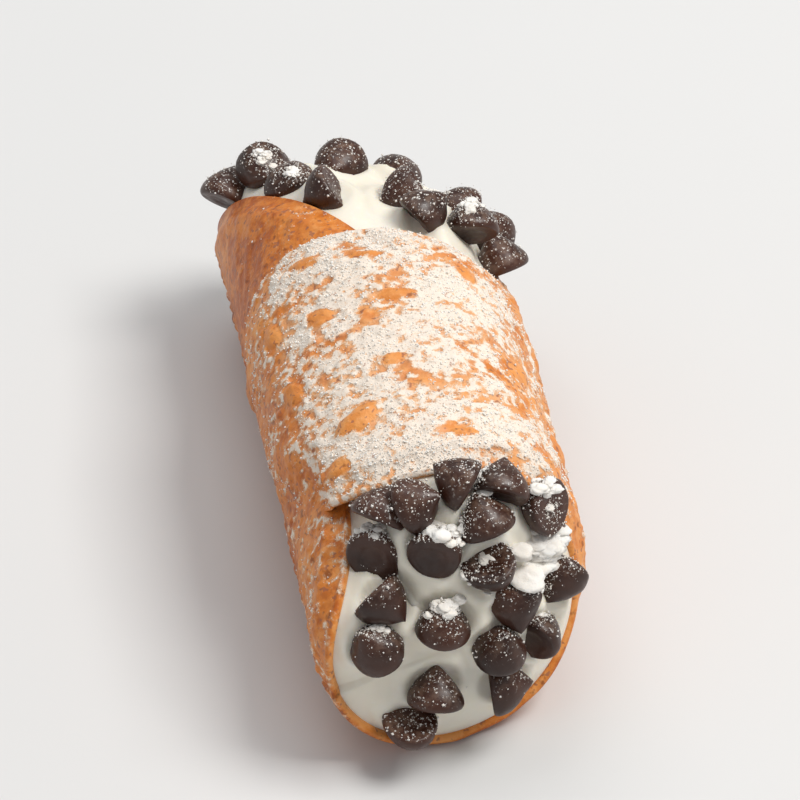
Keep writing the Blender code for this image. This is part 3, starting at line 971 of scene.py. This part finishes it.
def crust_material():
    """Fried dough, golden to deep brown with painted shade low down and on the left, under patchy icing
    sugar.
    """
    looks = Looks("fried_crust", Specular_IOR_Level=0.3)
    # Darkness of the dough: its browning plus painted shade low down and on the left
    browning_and_shade = looks.attribute("browning_and_shade")
    broad = looks.noise(5 * MM, 3)
    fine = looks.noise(0.8 * MM, 3, 0.6)
    tone = looks.maths("ADD", browning_and_shade, looks.fade(broad, 0.3, 0.7, -0.25, 0.25))
    tone = looks.maths("ADD", tone, looks.fade(fine, 0.3, 0.7, 0.30, -0.30))
    crust = looks.mix(looks.fade(tone, -0.05, 0.45), CRUST_PALE, CRUST_GOLD)
    crust = looks.mix(looks.fade(tone, 0.4, 0.95), crust, CRUST_DEEP)
    top = looks.maths("MULTIPLY", looks.attribute("blister"), 0.45)
    crust = looks.mix(top, crust, CRUST_PALE)
    spots = looks.noise(0.7 * MM, 2, 0.6)
    crust = looks.mix(looks.fade(spots, 0.60, 0.72, 0.0, 0.65), crust, CRUST_DARK)

    film = looks.maths("MULTIPLY", looks.fade(looks.attribute("film"), 0.25, 0.75), 0.50)
    crust = looks.mix(film, crust, SUGAR_FILM)
    pits = looks.maths("MULTIPLY", looks.fade(looks.noise(0.36 * MM, 1, 0.5), 0.61, 0.70), 0.8)
    crust = looks.mix(pits, crust, SPECK)
    flecks = looks.maths("MULTIPLY", looks.noise(0.16 * MM, 2, 0.7), 0.8)
    flecks = looks.maths("MULTIPLY_ADD", looks.noise(0.40 * MM, 2, 0.6), 0.6, flecks)
    cover = looks.maths("MULTIPLY_ADD", looks.attribute("sugar"), 0.62, flecks)
    dusted = looks.fade(cover, 0.81, 1.20)
    # Thin sugar shows the crust through it; the thick sugar's warm tint is painted bounce light from the
    # crust
    powder = looks.mix(looks.fade(cover, 0.98, 1.30), SUGAR_THIN, SUGAR_THICK_BOUNCE_TINTED)
    pins = looks.noise(0.26 * MM, 1, 0.5)
    powder = looks.mix(looks.fade(pins, 0.66, 0.73, 0.0, 0.6), powder, SPECK)
    looks.finish("Base Color", looks.mix(dusted, crust, powder))
    looks.finish("Roughness", looks.fade(dusted, 0.0, 1.0, 0.42, 0.90))
    looks.finish("Specular IOR Level", looks.fade(dusted, 0.0, 1.0, 0.35, 0.10))
    pores = looks.bump(looks.noise(0.4 * MM, 3, 0.65), 0.16 * MM)
    looks.finish("Normal", looks.bump(dusted, 0.06 * MM, pores))
    return looks.material


def sugar_material():
    """Icing sugar in small lumps."""
    found = bpy.data.materials.get("icing_sugar")
    if found:
        return found
    looks = Looks("icing_sugar", Roughness=0.9, Specular_IOR_Level=0.15, Subsurface_Weight=0.15)
    looks.shader.inputs["Subsurface Radius"].default_value = (0.6 * MM, 0.5 * MM, 0.4 * MM)
    looks.shader.inputs["Subsurface Scale"].default_value = 1.0
    tint = looks.noise(1.5 * MM, 2)
    looks.finish("Base Color", looks.mix(looks.fade(tint, 0.35, 0.65), SUGAR_LUMP, SUGAR_GRAIN))
    looks.finish("Normal", looks.bump(looks.noise(0.25 * MM, 2, 0.6), 0.08 * MM))
    return looks.material


def cream_material():
    """Smooth ricotta cream."""
    looks = Looks("ricotta_cream", Roughness=0.42, Specular_IOR_Level=0.45, Subsurface_Weight=0.25)
    looks.shader.inputs["Subsurface Radius"].default_value = (2.4, 1.8, 1.1)
    looks.shader.inputs["Subsurface Scale"].default_value = 1.0 * MM
    broad = looks.noise(5 * MM, 3)
    grain = looks.noise(0.7 * MM, 3, 0.6)
    tone = looks.mix(looks.fade(broad, 0.35, 0.68), CREAM_SHADE, CREAM_LIGHT)
    looks.finish("Base Color", looks.mix(looks.fade(grain, 0.55, 0.8, 0.0, 0.4), tone, CREAM_GRAIN))
    looks.finish("Roughness", looks.fade(grain, 0.3, 0.7, 0.36, 0.52))
    looks.finish("Normal", looks.bump(grain, 0.05 * MM))
    return looks.material


def chocolate_material():
    """Dark chocolate with a satin skin and a little powder on top."""
    looks = Looks("dark_chocolate", Roughness=0.36, Specular_IOR_Level=0.45)
    broad = looks.noise(2.5 * MM, 3)
    scuffs = looks.noise(0.5 * MM, 3, 0.65)
    tone = looks.mix(looks.fade(broad, 0.3, 0.7), CHOCOLATE_DARK, CHOCOLATE_LIGHT)
    dust = looks.maths("MULTIPLY", looks.attribute("powder"), looks.fade(scuffs, 0.42, 0.66))
    tone = looks.mix(looks.maths("MULTIPLY", dust, 0.22), tone, CHOCOLATE_DUST)
    flecks = looks.fade(looks.noise(0.20 * MM, 2, 0.6), 0.60, 0.70)
    tone = looks.mix(looks.maths("MULTIPLY", looks.attribute("powder"), flecks), tone, SUGAR_GRAIN)
    looks.finish("Base Color", tone)
    looks.finish("Roughness", looks.fade(scuffs, 0.3, 0.7, 0.30, 0.50))
    looks.finish("Normal", looks.bump(scuffs, 0.04 * MM))
    return looks.material


def floor_material():
    """Plain pale board with a faint mottle."""
    looks = Looks("pale_floor", Roughness=0.6, Specular_IOR_Level=0.2)
    mottle = looks.noise(40 * MM, 2)
    looks.finish("Base Color", looks.mix(mottle, FLOOR_DARK, FLOOR_LIGHT))
    return looks.material


# ---------------------------------------------------------------- studio

def build_floor():
    """Plain pale floor."""
    bpy.ops.mesh.primitive_plane_add(size=6.0, location=(0, 0, 0))
    floor = bpy.context.object
    floor.name = "floor"
    floor.data.materials.append(floor_material())


def add_light(name, place, size, power, tint=(1.0, 1.0, 1.0)):
    """Square soft light aimed at the object."""
    data = bpy.data.lights.new(name, "AREA")
    data.size = size
    data.energy = power
    data.color = tint
    light = bpy.data.objects.new(name, data)
    light.location = place
    light.rotation_euler = (-Vector(place)).to_track_quat("-Z", "Y").to_euler()
    bpy.context.scene.collection.objects.link(light)


def build_lights():
    """High soft light from the right and front, with a pale surround."""
    world = bpy.data.worlds.new("studio")
    world.use_nodes = True
    background = world.node_tree.nodes["Background"]
    background.inputs["Color"].default_value = colour(0.97, 0.98, 1.0)
    background.inputs["Strength"].default_value = 0.42
    bpy.context.scene.world = world
    add_light("key", (0.52, -0.12, 0.95), 0.45, 8.6, (1.0, 0.98, 0.95))
    add_light("overhead", (-0.10, 0.45, 1.10), 0.80, 3.5)
    bpy.context.scene.view_settings.view_transform = "Standard"


def build_camera():
    """Camera at the photographed angle, aimed at the middle of the object."""
    low, high = (Vector(corner) for corner in CAD_BOX)
    target = (low + high) / 2
    azimuth, elevation = math.radians(CAMERA_AZIMUTH), math.radians(CAMERA_ELEVATION)
    back = Vector((math.sin(azimuth) * math.cos(elevation),
                   -math.cos(azimuth) * math.cos(elevation), math.sin(elevation)))
    data = bpy.data.cameras.new("camera")
    data.sensor_width = 36.0
    data.lens = data.sensor_width * CAMERA_DISTANCE / VIEW_WIDTH
    data.clip_start = 0.05
    camera = bpy.data.objects.new("camera", data)
    camera.location = target + back * CAMERA_DISTANCE
    camera.rotation_euler = (-back).to_track_quat("-Z", "Y").to_euler()
    bpy.context.scene.collection.objects.link(camera)
    bpy.context.scene.camera = camera


def main():
    """Build the object, the floor, the lights and the camera."""
    drops, hubs = build_drops()
    shift = build_shell(crust_material())
    build_cream(shift, hubs)
    build_loose_sugar(drops, hubs)
    build_floor()
    build_lights()
    build_camera()


main()
